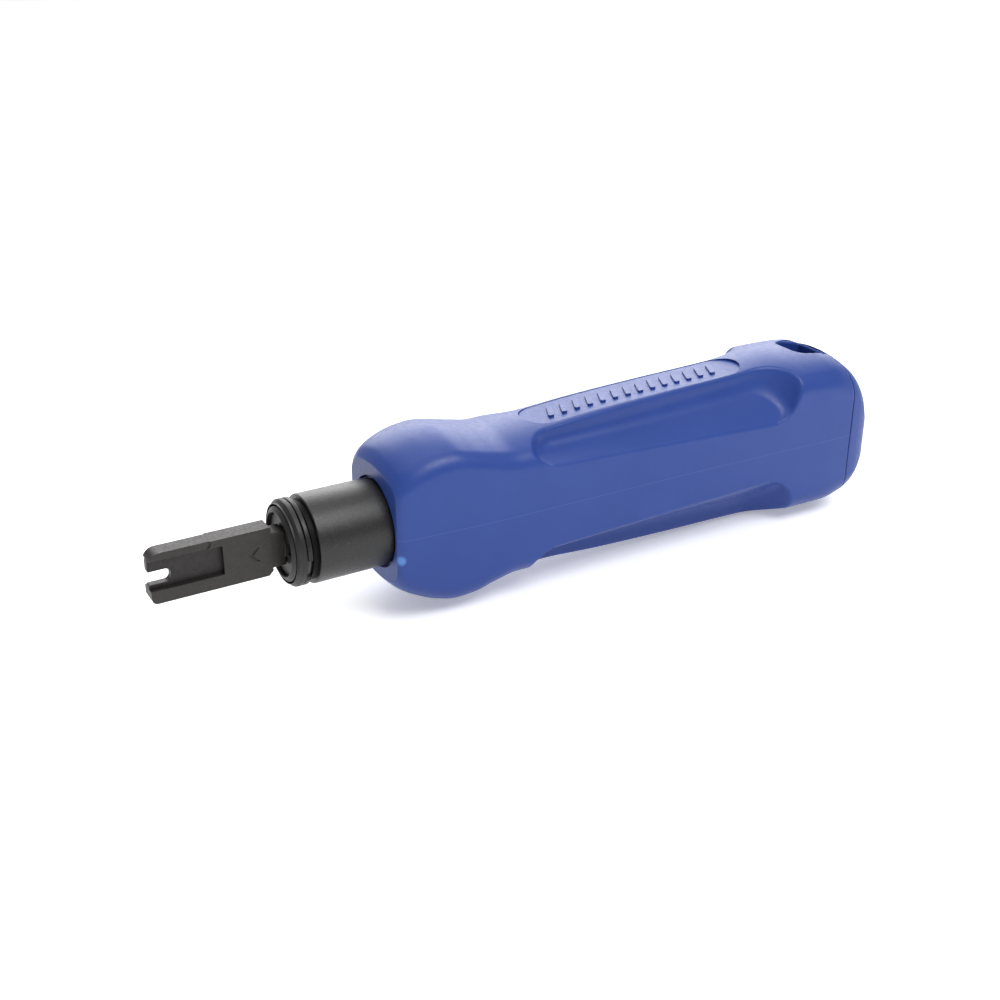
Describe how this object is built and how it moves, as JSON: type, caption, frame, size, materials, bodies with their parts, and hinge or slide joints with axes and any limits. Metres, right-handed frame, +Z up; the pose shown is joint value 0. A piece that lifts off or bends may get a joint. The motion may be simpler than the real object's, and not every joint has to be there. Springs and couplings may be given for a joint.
{
  "type": "punch down tool",
  "caption": "Hand tool with a moulded blue handle, a round black nose and a slotted twist-lock blade that is pushed in against a hammer spring to seat wires.",
  "frame": {"origin": "on the tool axis at the handle's front face, where the round nose leaves the handle", "axes": "+X along the tool axis towards the end cap, so the blade points to -X; +Z up through the label pocket; +Y to the tool's far side"},
  "size_m": [0.1845, 0.0318, 0.0423],
  "materials": {
    "blue_plastic": "satin moulded polypropylene, royal blue",
    "cap_plastic": "satin moulded polypropylene, royal blue",
    "black_plastic": "spark-eroded black plastic",
    "grey_liner": "smooth grey plastic",
    "ring_plastic": "satin black",
    "clip_steel": "black phosphated spring steel",
    "tube_steel": "drawn tube, zinc finish",
    "cam_steel": "hardened, ground",
    "pin_steel": "ground",
    "spring_steel": "music wire",
    "holder_steel": "black oxide, turned",
    "hammer_steel": "turned",
    "blade_steel": "black oxide tool steel"
  },
  "bodies": {
    "handle": {"handle_body": "blue_plastic", "end_cap": "cap_plastic", "cap_peg_left": "pin_steel", "cap_peg_right": "pin_steel", "nose_barrel": "black_plastic", "guide_sleeve": "grey_liner", "nose_ring": "ring_plastic", "split_retaining_clip": "clip_steel", "mechanism_tube": "tube_steel", "release_cam": "cam_steel", "rear_spring_seat": "tube_steel", "seat_cross_pin": "pin_steel", "main_spring": "spring_steel"},
    "plunger": {"blade_holder": "holder_steel", "plunger_stem": "pin_steel", "stem_cross_pin": "pin_steel", "detent_ball": "pin_steel", "detent_spring": "spring_steel", "detent_screw": "cam_steel", "return_spring": "spring_steel"},
    "blade": {"punch_blade": "blade_steel"},
    "hammer": {"hammer": "hammer_steel", "latch_spring": "spring_steel"},
    "latch": {"hammer_latch": "cam_steel"}
  },
  "joints": [
    {"name": "plunger_slide", "type": "slide", "parent": "handle", "child": "plunger", "axis": [1, 0, 0], "range_m": [0, 0.01], "stiffness_N_per_m": 2500, "springref_m": -0.01},
    {"name": "blade_turn", "type": "hinge", "parent": "plunger", "child": "blade", "pos_m": [-0.0075, 0, 0], "axis": [1, 0, 0], "range_deg": [0, 90]},
    {"name": "hammer_slide", "type": "slide", "parent": "handle", "child": "hammer", "axis": [1, 0, 0], "range_m": [0, 0.01], "deforming": ["main_spring"]},
    {"name": "latch_slide", "type": "slide", "parent": "hammer", "child": "latch", "axis": [0, 0, -1], "range_m": [0, 0.002], "deforming": ["latch_spring"]}
  ],
  "couplings": [
    {"joint": "hammer_slide", "follows": "plunger_slide", "ratio": 1},
    {"joint": "latch_slide", "follows": "plunger_slide", "ratio": 0.2}
  ]
}
